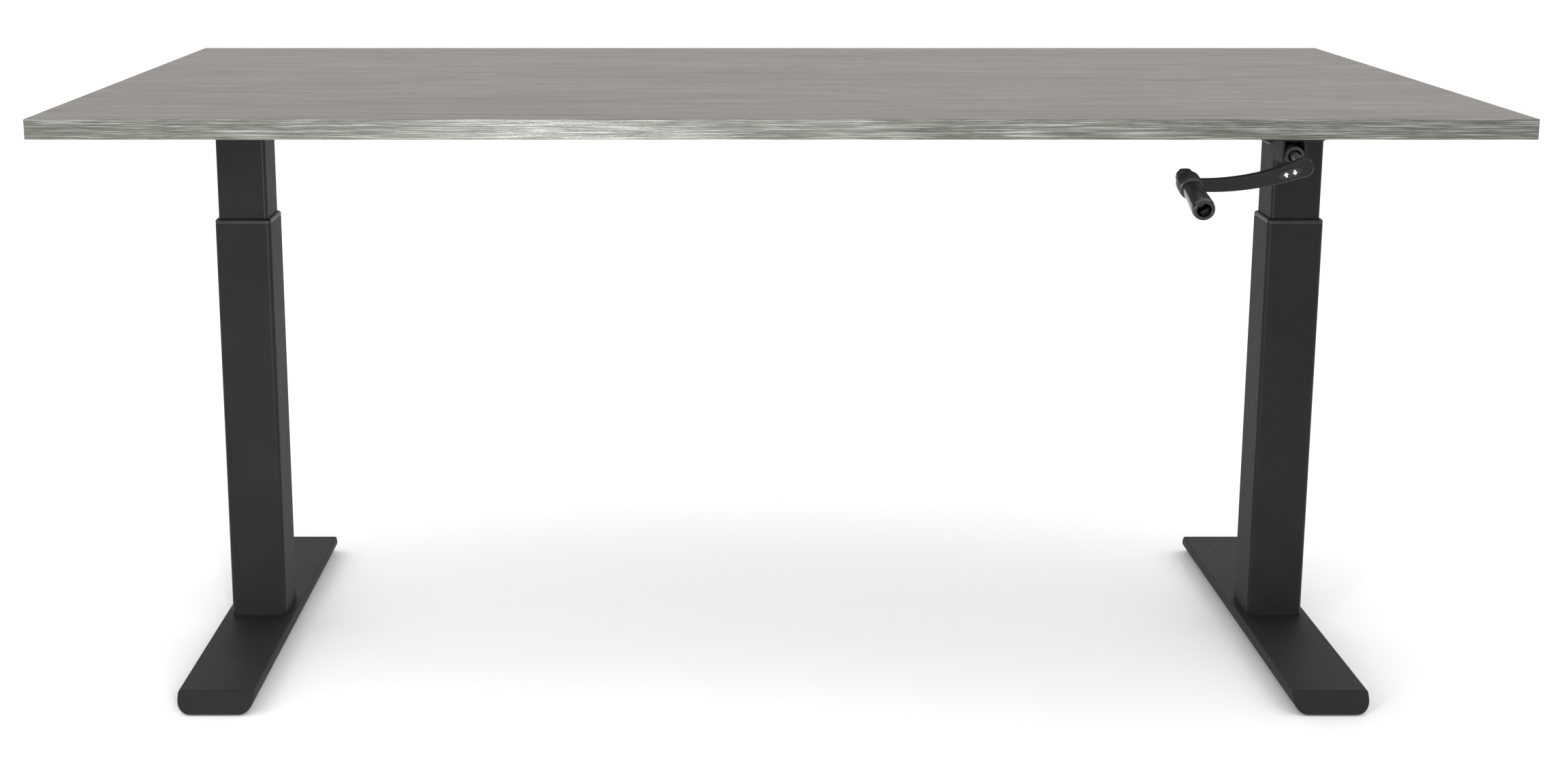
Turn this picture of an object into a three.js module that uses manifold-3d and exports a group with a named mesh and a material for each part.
// Crank-driven height adjustable standing desk.
// Millimetres, +Z up, -Y towards the user. The origin is on the floor at the centre of the plan box.
import * as THREE from 'three';
import { mergeVertices } from 'three/addons/utils/BufferGeometryUtils.js';
import { ConvexGeometry } from 'three/addons/geometries/ConvexGeometry.js';
import Module from 'manifold-3d';

const wasm = await Module();
wasm.setup();

// ---------------------------------------------------------------- driving dimensions
const TOP = { width: 1600, depth: 800, thick: 22, height: 720, edge: 1 };
const COLUMN_X = 657;
const FOOT = { width: 90, flat: 550, slope: 16, base: 2, top: 26, wall: 2.5, corner: 16 };
const LEVELLER = { y: 240, pad: 17, padThick: 5, stud: 4, studTop: 19 };
const OUTER = { side: 70, wall: 2.5, corner: 6, top: 541 };
const COLLAR = { lipTop: 547, sleeveBottom: 511, bore: 62.8 };
const INNER = { side: 62, wall: 2, corner: 5, bottom: 56, top: 655 };
const PLATE = { side: 64, thick: 6 };
const POST = { outer: 14, inner: 11.5, top: 470 };
const NUT = { radius: 16, bore: 6.4, thick: 28 };
const SCREW = { radius: 6, bottom: 58, shoulder: 654, journal: 4.5 };
const GEAR = { teeth: 12, pitch: 11, addendum: 1.3, dedendum: 1.7, keep: 0.65, bore: 4.8 };
const DRIVE_Z = 683;
const SHAFT_RADIUS = 4.5;
const BOX = { half: 38, wall: 3, floor: 5, bottom: 655, top: 695, flange: 3.5 };
const COVER_THICK = 2.5;
const SUPPORT = { half: 48, wall: 3, bottom: 676, length: 540, window: 80 };
const RAIL = { near: 55, far: 85, bottom: 680, wall: 2 };
const CRANK = { x: 545, y: -380, tilt: 13, reach: 46, arm: 10, endX: -117, endZ: -19.5, sag: 7 };
const GRIP = { start: 55, end: 116.7, bore: 4.5, mouth: 7, mouthDepth: 22 };
const TOP_UNDER = TOP.height - TOP.thick;
const GAP = 0.3;

// ---------------------------------------------------------------- materials
const FINISH = {
  laminate: { color: 0x96928a, roughness: 0.55, metalness: 0 },
  edging: { color: 0x8c897d, roughness: 0.5, metalness: 0 },
  powderCoat: { color: 0x303232, roughness: 0.6, metalness: 0.2 },
  steel: { color: 0x9a9c9e, roughness: 0.35, metalness: 1 },
  gearSteel: { color: 0x6f6a62, roughness: 0.45, metalness: 1 },
  bronze: { color: 0xa8864a, roughness: 0.4, metalness: 1 },
  castBox: { color: 0x2a2b2b, roughness: 0.7, metalness: 0.3 },
  nylon: { color: 0x1c1d1d, roughness: 0.5, metalness: 0 },
  glossPlastic: { color: 0x0b0b0c, roughness: 0.2, metalness: 0 },
  rubber: { color: 0x161616, roughness: 0.9, metalness: 0 },
};

// ---------------------------------------------------------------- geometry helpers
// Merges shared corners, drops empty triangles and turns the faces outwards.
function tidied(geometry) {
  const bare = geometry.index ? geometry.toNonIndexed() : geometry.clone();
  bare.deleteAttribute('normal');
  bare.deleteAttribute('uv');
  const merged = mergeVertices(bare, 1e-4);
  const position = merged.attributes.position;
  const corners = [];
  let volume = 0;
  const [a, b, c] = [new THREE.Vector3(), new THREE.Vector3(), new THREE.Vector3()];
  for (let i = 0; i < merged.index.count; i += 3) {
    const [i0, i1, i2] = [0, 1, 2].map((k) => merged.index.getX(i + k));
    if (i0 === i1 || i1 === i2 || i2 === i0) continue;
    a.fromBufferAttribute(position, i0);
    b.fromBufferAttribute(position, i1);
    c.fromBufferAttribute(position, i2);
    volume += a.dot(b.cross(c));
    corners.push(i0, i1, i2);
  }
  if (volume < 0) corners.reverse();
  merged.setIndex(corners);
  return merged;
}

function toSolid(geometry) {
  const closed = tidied(geometry);
  const vertProperties = new Float32Array(closed.attributes.position.array);
  const triVerts = new Uint32Array(closed.index.array);
  return new wasm.Manifold(new wasm.Mesh({ numProp: 3, vertProperties, triVerts }));
}

function fromSolid(solid) {
  const mesh = solid.getMesh();
  const geometry = new THREE.BufferGeometry();
  geometry.setAttribute('position', new THREE.BufferAttribute(mesh.vertProperties, 3));
  geometry.setIndex(new THREE.BufferAttribute(mesh.triVerts, 1));
  return geometry;
}

function join(...geometries) {
  return fromSolid(geometries.map(toSolid).reduce((sum, next) => sum.add(next)));
}

function cut(body, ...tools) {
  return fromSolid(tools.map(toSolid).reduce((rest, tool) => rest.subtract(tool), toSolid(body)));
}

function meet(first, second) {
  return fromSolid(toSolid(first).intersect(toSolid(second)));
}

function block([x0, x1], [y0, y1], [z0, z1]) {
  const geometry = new THREE.BoxGeometry(x1 - x0, y1 - y0, z1 - z0);
  return geometry.translate((x0 + x1) / 2, (y0 + y1) / 2, (z0 + z1) / 2);
}

// A cylinder from low to high along X, Y or Z, on the line through (u, v) in the other two axes.
function rod(axis, radius, [low, high], [u, v] = [0, 0], sides = 20) {
  const geometry = new THREE.CylinderGeometry(radius, radius, high - low, sides);
  const middle = (low + high) / 2;
  if (axis === 'x') return geometry.rotateZ(Math.PI / 2).translate(middle, u, v);
  if (axis === 'y') return geometry.translate(u, middle, v);
  return geometry.rotateX(Math.PI / 2).translate(u, v, middle);
}

// Turns a closed [radius, height] outline about Z.
function turned(outline, sides = 24) {
  const points = outline.map(([radius, height]) => new THREE.Vector2(radius, height));
  if (outline[0][0] > 0) points.push(points[0].clone());
  return new THREE.LatheGeometry(points, sides).rotateX(Math.PI / 2);
}

function roundedOutline(side, corner, path = new THREE.Shape()) {
  const reach = side / 2 - corner;
  const turns = [[1, -1, -0.5], [1, 1, 0], [-1, 1, 0.5], [-1, -1, 1]];
  for (const [sx, sy, start] of turns) {
    path.absarc(sx * reach, sy * reach, corner, start * Math.PI, (start + 0.5) * Math.PI, false);
  }
  path.closePath();
  return path;
}

function raised(shape, [z0, z1], curveSegments = 2) {
  const options = { depth: z1 - z0, bevelEnabled: false, curveSegments };
  return new THREE.ExtrudeGeometry(shape, options).translate(0, 0, z0);
}

// A square tube with rounded corners, standing on Z.
function squareTube(side, corner, hole, holeCorner, span) {
  const shape = roundedOutline(side, corner);
  shape.holes.push(roundedOutline(hole, holeCorner, new THREE.Path()));
  return raised(shape, span);
}

// ---------------------------------------------------------------- the scene graph
const desk = new THREE.Group();

function add(name, geometry, finish, parent = desk) {
  const mesh = new THREE.Mesh(tidied(geometry), new THREE.MeshStandardMaterial(FINISH[finish]));
  mesh.name = name;
  parent.add(mesh);
  return mesh;
}

// ---------------------------------------------------------------- feet
// The foot is a folded steel channel: flat on top, sloped at both ends, rounded along its lower
// edges and open underneath, with a threaded boss for each levelling foot.
function footForm(inset, base) {
  const flat = FOOT.flat / 2 - inset;
  const low = FOOT.flat / 2 + FOOT.slope - inset;
  const top = FOOT.top - inset;
  const side = new THREE.Shape();
  side.moveTo(-flat, top).lineTo(-low, base).lineTo(low, base).lineTo(flat, top);
  const along = new THREE.ExtrudeGeometry(side, { depth: FOOT.width, bevelEnabled: false });
  along.translate(0, 0, -FOOT.width / 2).rotateX(Math.PI / 2).rotateZ(Math.PI / 2);
  const half = FOOT.width / 2 - inset;
  const corner = FOOT.corner - inset;
  const crest = 2.5;
  const front = new THREE.Shape();
  front.absarc(half - crest, top - crest, crest, 0, Math.PI / 2, false);
  front.absarc(crest - half, top - crest, crest, Math.PI / 2, Math.PI, false);
  front.absarc(corner - half, base + corner, corner, Math.PI, 1.5 * Math.PI, false);
  front.absarc(half - corner, base + corner, corner, 1.5 * Math.PI, 2 * Math.PI, false);
  front.closePath();
  const options = { depth: 2 * low + 10, bevelEnabled: false, curveSegments: 2 };
  const across = new THREE.ExtrudeGeometry(front, options);
  across.translate(0, 0, -low - 5).rotateX(Math.PI / 2);
  return meet(along, across);
}

const FOOT_BOLT_Y = 22;
const BOLT = { head: 6.5, headTall: 5.5, shank: 4, hole: 4.4, top: 31.5 };

function footShell() {
  const under = FOOT.top - FOOT.wall;
  const slot = FOOT.width / 2 - FOOT.corner - FOOT.wall;
  const slotEnd = FOOT.flat / 2 - 5;
  const hollow = join(
    footForm(FOOT.wall, FOOT.base + FOOT.wall),
    block([-slot, slot], [-slotEnd, slotEnd], [FOOT.base - 3, FOOT.base + 8]),
  );
  let shell = cut(footForm(0, FOOT.base), hollow);
  for (const end of [-1, 1]) {
    const spot = [0, end * LEVELLER.y];
    const boss = rod('z', 8, [12, under + 1], spot, 12);
    const thread = rod('z', LEVELLER.stud + 0.4, [8, 22], spot, 12);
    shell = cut(join(shell, boss), thread);
    shell = cut(shell, rod('z', BOLT.hole, [under - 2, FOOT.top + 2], [0, end * FOOT_BOLT_Y], 12));
  }
  return shell;
}

function levellingFoot() {
  const { pad, padThick, stud, studTop } = LEVELLER;
  return turned([
    [0, 0], [pad - 1, 0], [pad, 1], [pad, padThick - 1.5], [stud, padThick],
    [stud, studTop], [0, studTop],
  ], 16);
}

function footBolt() {
  const under = FOOT.top - FOOT.wall;
  return turned([
    [0, under - BOLT.headTall], [BOLT.head, under - BOLT.headTall], [BOLT.head, under],
    [BOLT.shank, under], [BOLT.shank, BOLT.top], [0, BOLT.top],
  ], 12);
}

// ---------------------------------------------------------------- columns
function basePlate() {
  const plate = raised(roundedOutline(PLATE.side, 4), [FOOT.top, FOOT.top + PLATE.thick]);
  const holes = [-1, 1].map((end) => {
    return rod('z', BOLT.hole, [FOOT.top - 2, FOOT.top + PLATE.thick + 2], [0, end * FOOT_BOLT_Y], 12);
  });
  return cut(plate, ...holes);
}

function collar() {
  const lip = squareTube(OUTER.side, OUTER.corner, COLLAR.bore, INNER.corner, [OUTER.top, COLLAR.lipTop]);
  const sleeveSide = OUTER.side - 2 * OUTER.wall - 0.4;
  const sleeve = squareTube(sleeveSide, 3.3, COLLAR.bore, 2.9, [COLLAR.sleeveBottom, OUTER.top + 1]);
  return join(lip, sleeve);
}

function ring(inner, outer, [z0, z1], sides = 12) {
  return turned([[inner, z0], [outer, z0], [outer, z1], [inner, z1]], sides);
}

function leadScrew() {
  return turned([
    [0, SCREW.bottom], [SCREW.radius - 1.5, SCREW.bottom], [SCREW.radius, SCREW.bottom + 1.5],
    [SCREW.radius, SCREW.shoulder], [SCREW.journal, SCREW.shoulder],
    [SCREW.journal, DRIVE_Z - 7], [0, DRIVE_Z - 7],
  ], 12);
}

// ---------------------------------------------------------------- bevel gears
// One straight bevel gear with a 45 degree pitch cone. The cone's point is at the origin and the
// gear's back faces +Z. A gear has a tooth on +X; a mating gear has a tooth space there.
function bevelGear(spaceOnX) {
  const { teeth, pitch, addendum, dedendum, keep, bore } = GEAR;
  const tipRadius = pitch + addendum * Math.SQRT1_2;
  const tipHeight = pitch - addendum * Math.SQRT1_2;
  const hub = 8;
  const blank = turned([
    [bore, keep * tipHeight], [keep * tipRadius, keep * tipHeight], [tipRadius, tipHeight],
    [pitch - dedendum, pitch + dedendum + 0.6], [hub, pitch + dedendum + 0.6], [hub, pitch + 9],
    [bore, pitch + 9],
  ], teeth);
  const step = (2 * Math.PI) / teeth;
  if (spaceOnX) blank.rotateZ(step / 2);
  const spaceWidth = 0.6 * step * pitch;
  const flank = Math.tan(THREE.MathUtils.degToRad(20));
  const above = addendum + 1.5;
  const sides = [
    [spaceWidth / 2 - dedendum * flank, -dedendum],
    [spaceWidth / 2 + above * flank, above],
  ];
  const along = new THREE.Vector3(1, 0, 1).multiplyScalar(pitch);
  const outward = new THREE.Vector3(1, 0, -1).normalize();
  const spaces = [];
  for (let i = 0; i < teeth; i += 1) {
    const corners = [];
    for (const scale of [0.4 * keep, 1.4]) {
      for (const [half, lift] of sides) {
        for (const hand of [-1, 1]) {
          const point = along.clone().addScaledVector(outward, lift);
          point.y = hand * half;
          corners.push(point.multiplyScalar(scale));
        }
      }
    }
    const turn = (i + (spaceOnX ? 0 : 0.5)) * step;
    spaces.push(new ConvexGeometry(corners).rotateZ(turn));
  }
  return cut(blank, ...spaces);
}

const toothGear = bevelGear(false);
const spaceGear = bevelGear(true);

// ---------------------------------------------------------------- gearboxes and top frame
function gearboxHousing() {
  const { half, wall, floor, bottom, top, flange } = BOX;
  const shell = block([-half, half], [-half, half], [bottom, top]);
  const ears = block([-44.5, 44.5], [-46, 46], [top - flange, top]);
  const inside = block([wall - half, half - wall], [wall - half, half - wall], [bottom + floor, top + 1]);
  const bearingSeat = rod('z', 12, [bottom - 1, bottom + floor + 1]);
  return cut(join(shell, ears), inside, bearingSeat);
}

function sideSupport(inward) {
  const { half, wall, bottom, length, window } = SUPPORT;
  const under = TOP_UNDER;
  const ends = [-length / 2, length / 2];
  const channel = cut(
    block([-half, half], ends, [bottom, under]),
    block([wall - half, half - wall], [ends[0] - 1, ends[1] + 1], [bottom - 1, under - wall]),
    block([-window / 2, window / 2], [-window / 2, window / 2], [under - wall - 1, under + 1]),
  );
  const flange = inward * (half - wall / 2);
  return cut(channel, block([flange - wall, flange + wall], [-9, 9], [bottom - 1, DRIVE_Z + 9]));
}

function rail(front) {
  const sign = front ? -1 : 1;
  const [y0, y1] = [RAIL.near * sign, RAIL.far * sign].sort((p, q) => p - q);
  const reach = COLUMN_X - SUPPORT.half;
  const tube = cut(
    block([-reach, reach], [y0, y1], [RAIL.bottom, TOP_UNDER]),
    block(
      [-reach - 1, reach + 1],
      [y0 + RAIL.wall, y1 - RAIL.wall],
      [RAIL.bottom + RAIL.wall, TOP_UNDER - RAIL.wall],
    ),
  );
  if (!front) return tube;
  return cut(tube, rod('y', 7, [y0 - 1, y1 + 1], [CRANK.x, DRIVE_Z], 16));
}

function cornerHousing() {
  const [x, z] = [CRANK.x, DRIVE_Z];
  return cut(
    block([x - 27, x + 19], [-30, 17], [z - 16, BOX.top]),
    block([x - 24, x + 16], [-27, 14], [z - 13, BOX.top + 1]),
    rod('x', 6.5, [x - 30, x + 22], [0, z], 16),
    rod('y', 6.5, [-32, -20], [x, z], 16),
  );
}

// ---------------------------------------------------------------- left and right legs
const LEGS = [['left', -1], ['right', 1]];

for (const [side, sign] of LEGS) {
  const leg = new THREE.Group();
  leg.position.x = sign * COLUMN_X;
  desk.add(leg);
  add(`${side}_foot`, footShell(), 'powderCoat', leg);
  for (const [end, y] of [['front', -1], ['rear', 1]]) {
    add(`${side}_${end}_levelling_foot`, levellingFoot(), 'rubber', leg).position.y = y * LEVELLER.y;
    add(`${side}_${end}_foot_bolt`, footBolt(), 'steel', leg).position.y = y * FOOT_BOLT_Y;
  }
  const outerHole = OUTER.side - 2 * OUTER.wall;
  const outerSpan = [FOOT.top, OUTER.top];
  add(`${side}_outer_column`, squareTube(OUTER.side, OUTER.corner, outerHole, 3.5, outerSpan), 'powderCoat', leg);
  add(`${side}_column_collar`, collar(), 'nylon', leg);
  add(`${side}_base_plate`, basePlate(), 'steel', leg);
  const plateTop = FOOT.top + PLATE.thick;
  add(`${side}_nut_post`, ring(POST.inner, POST.outer, [plateTop, POST.top]), 'steel', leg);
  add(`${side}_lead_nut`, ring(NUT.bore, NUT.radius, [POST.top, POST.top + NUT.thick]), 'bronze', leg);
  add(`${side}_lead_screw`, leadScrew(), 'steel', leg);
  const innerHole = INNER.side - 2 * INNER.wall;
  const innerSpan = [INNER.bottom, INNER.top];
  add(`${side}_inner_column`, squareTube(INNER.side, INNER.corner, innerHole, 3, innerSpan), 'powderCoat', leg);
  const glideSpan = [INNER.bottom + 2, INNER.bottom + 42];
  add(`${side}_column_glide`, squareTube(64.4, 3.2, 62.5, 5.2, glideSpan), 'nylon', leg);
  add(`${side}_screw_bearing`, ring(5, 11.7, [BOX.bottom + 0.5, BOX.bottom + BOX.floor]), 'steel', leg);
  const screwBevel = add(`${side}_screw_bevel`, spaceGear, 'gearSteel', leg);
  screwBevel.rotation.x = Math.PI;
  screwBevel.position.z = DRIVE_Z;
  const shaftHole = rod('x', 7, [-sign * (BOX.half + 2), -sign * 30].sort((p, q) => p - q), [0, DRIVE_Z], 16);
  add(`${side}_gearbox_housing`, cut(gearboxHousing(), shaftHole), 'castBox', leg);
  const lid = SUPPORT.window / 2 - 1;
  add(`${side}_gearbox_cover`, block([-lid, lid], [-lid, lid], [BOX.top, BOX.top + COVER_THICK]), 'castBox', leg);
  add(`${side}_side_support`, sideSupport(-sign), 'powderCoat', leg);
}

// ---------------------------------------------------------------- cross shaft
const shaftEnd = COLUMN_X - GEAR.keep * GEAR.pitch;
add('cross_shaft', rod('x', SHAFT_RADIUS, [-shaftEnd, shaftEnd], [0, DRIVE_Z], 6), 'steel');
const CROSS_BEVELS = [
  ['left_cross_bevel', -COLUMN_X, 1],
  ['right_cross_bevel', COLUMN_X, -1],
  ['input_cross_bevel', CRANK.x, -1],
];
for (const [name, x, facing] of CROSS_BEVELS) {
  const bevel = add(name, toothGear, 'gearSteel');
  bevel.rotation.y = (facing * Math.PI) / 2;
  bevel.position.set(x, 0, DRIVE_Z);
}

// ---------------------------------------------------------------- drive shaft and corner gearbox
add('drive_shaft', rod('y', SHAFT_RADIUS, [-352, -GEAR.keep * GEAR.pitch], [CRANK.x, DRIVE_Z], 6), 'steel');
const driveBevel = add('drive_bevel', spaceGear, 'gearSteel');
driveBevel.rotation.x = Math.PI / 2;
driveBevel.position.set(CRANK.x, 0, DRIVE_Z);
add('corner_gearbox_housing', cornerHousing(), 'castBox');
const cornerLid = block([CRANK.x - 27, CRANK.x + 19], [-30, 17], [BOX.top, BOX.top + COVER_THICK]);
add('corner_gearbox_cover', cornerLid, 'castBox');

// ---------------------------------------------------------------- desktop and rails
const halfW = TOP.width / 2;
const halfD = TOP.depth / 2;
const boardX = [TOP.edge - halfW, halfW - TOP.edge];
const boardY = [TOP.edge - halfD, halfD - TOP.edge];
const boardZ = [TOP_UNDER, TOP.height];
add('desktop', block(boardX, boardY, boardZ), 'laminate');
const band = cut(
  block([-halfW, halfW], [-halfD, halfD], boardZ),
  block(boardX, boardY, [TOP_UNDER - 1, TOP.height + 1]),
);
add('edge_band', band, 'edging');
add('front_rail', rail(true), 'powderCoat');
add('rear_rail', rail(false), 'powderCoat');

// ---------------------------------------------------------------- crank bracket and elbow
// The crank's axis drops towards the user, so a flexible coupling in a bent guide tube joins it
// to the level drive shaft.
const tilt = THREE.MathUtils.degToRad(CRANK.tilt);
const elbow = new THREE.Vector3(CRANK.x, CRANK.y, DRIVE_Z);
const crankward = new THREE.Vector3(0, -Math.cos(tilt), -Math.sin(tilt));

function bend(back, ahead) {
  const start = elbow.clone().add(new THREE.Vector3(0, back, 0));
  return new THREE.QuadraticBezierCurve3(start, elbow, elbow.clone().addScaledVector(crankward, ahead));
}

const guideShape = new THREE.Shape().absarc(0, 0, 10, 0, 2 * Math.PI, false);
guideShape.holes.push(new THREE.Path().absarc(0, 0, 7, 0, 2 * Math.PI, true));
const guidePath = { steps: 5, curveSegments: 6, bevelEnabled: false, extrudePath: bend(36, 14) };
add('crank_guide_tube', new THREE.ExtrudeGeometry(guideShape, guidePath), 'castBox');
const coreShape = new THREE.Shape().absarc(0, 0, 4.2, 0, 2 * Math.PI, false);
const corePath = { steps: 5, curveSegments: 4, bevelEnabled: false, extrudePath: bend(27, 3) };
add('flexible_coupling', new THREE.ExtrudeGeometry(coreShape, corePath), 'steel');
const [bracketY0, bracketY1] = [CRANK.y - 12, CRANK.y + 38];
const bracketSide = 10 + GAP;
const crankBracket = cut(
  block([CRANK.x - 34, CRANK.x + 34], [bracketY0, bracketY1], [DRIVE_Z - 11, TOP_UNDER]),
  block(
    [CRANK.x - bracketSide, CRANK.x + bracketSide],
    [bracketY0 - 1, bracketY1 + 1],
    [DRIVE_Z - 12, TOP_UNDER - 2.5],
  ),
  block([CRANK.x - 35, CRANK.x - 13], [bracketY0 - 1, bracketY1 + 1], [DRIVE_Z - 12, TOP_UNDER - 2.5]),
  block([CRANK.x + 13, CRANK.x + 35], [bracketY0 - 1, bracketY1 + 1], [DRIVE_Z - 12, TOP_UNDER - 2.5]),
);
add('crank_bracket', crankBracket, 'powderCoat');

// ---------------------------------------------------------------- crank
// In this group -Y runs along the crank's axis towards the user.
const crank = new THREE.Group();
crank.position.copy(elbow);
crank.rotation.x = tilt;
desk.add(crank);

function crankArm() {
  const root = new THREE.Vector2(0, 0);
  const tip = new THREE.Vector2(CRANK.endX, CRANK.endZ);
  const chord = tip.clone().sub(root);
  const down = new THREE.Vector2(-chord.y, chord.x).normalize().multiplyScalar(2 * CRANK.sag);
  const belly = root.clone().add(tip).multiplyScalar(0.5).add(down);
  const line = new THREE.QuadraticBezierCurve(root, belly, tip);
  const steps = 8;
  const [upper, lower] = [[], []];
  for (let i = 0; i <= steps; i += 1) {
    const t = i / steps;
    const half = THREE.MathUtils.lerp(10.5, 6.5, Math.sqrt(t));
    const across = line.getTangent(t).rotateAround(root, Math.PI / 2).multiplyScalar(half);
    upper.push(line.getPoint(t).sub(across));
    lower.push(line.getPoint(t).add(across));
  }
  const bar = new THREE.Shape([...upper, ...lower.reverse()]);
  const rootTurn = line.getTangent(0).angle();
  const cap = new THREE.Shape().absarc(0, 0, 10.5, rootTurn + Math.PI / 2, rootTurn + 1.5 * Math.PI, false);
  const flat = (shape) => {
    const options = { depth: CRANK.arm, bevelEnabled: false, curveSegments: 5 };
    return new THREE.ExtrudeGeometry(shape, options).rotateX(Math.PI / 2).translate(0, CRANK.arm / 2 - CRANK.reach, 0);
  };
  const boss = rod('y', 13, [-CRANK.reach - 7.5, -CRANK.reach + 7.5], [CRANK.endX, CRANK.endZ], 20);
  const hubBore = rod('y', 5.4, [-CRANK.reach - 1, -CRANK.reach + 8], [0, 0], 6);
  const pinBore = rod('y', 4.4, [-CRANK.reach - 9, -CRANK.reach + 9], [CRANK.endX, CRANK.endZ], 16);
  return cut(join(flat(bar), flat(cap), boss), hubBore, pinBore);
}

// Turns an outline about the handle pin; distances run from the elbow towards the user.
function onPin(outline, sides) {
  return turned(outline, sides).rotateX(Math.PI / 2).translate(CRANK.endX, 0, CRANK.endZ);
}

add('crank_stub_shaft', rod('y', 5, [-CRANK.reach - 0.7, -4], [0, 0], 6), 'steel', crank);
add('crank_arm', crankArm(), 'powderCoat', crank);
add('handle_pin', onPin([[0, 26], [4, 26], [4, 94], [5.6, 94], [5.6, 97], [0, 97]], 16), 'steel', crank);
add('pin_knob', onPin([
  [0, 19.5], [8, 19.5], [9.5, 21], [9.5, 30.5], [8.5, 32], [6, 32], [6, 38.2], [4.4, 38.2],
  [4.4, 25.5], [0, 25.5],
], 16), 'nylon', crank);
const gripFloor = GRIP.end - GRIP.mouthDepth;
add('crank_grip', onPin([
  [GRIP.bore, GRIP.start], [12.6, GRIP.start], [12.6, GRIP.start + 3.5], [10.2, GRIP.start + 6],
  [10.6, GRIP.start + 28], [12, GRIP.end - 5], [10, GRIP.end], [GRIP.mouth, GRIP.end],
  [GRIP.mouth, gripFloor - 5], [GRIP.bore, gripFloor - 5],
], 18), 'glossPlastic', crank);

// ---------------------------------------------------------------- origin
// The plan box runs from the grip's open end to the desktop's rear edge. The origin is its centre,
// to the nearest tenth of a millimetre, so the columns stand a little behind it.
desk.updateMatrixWorld(true);
const planBox = new THREE.Box3().setFromObject(desk, true);
desk.position.y = -Math.round((planBox.min.y + planBox.max.y) * 5) / 10;

export default desk;
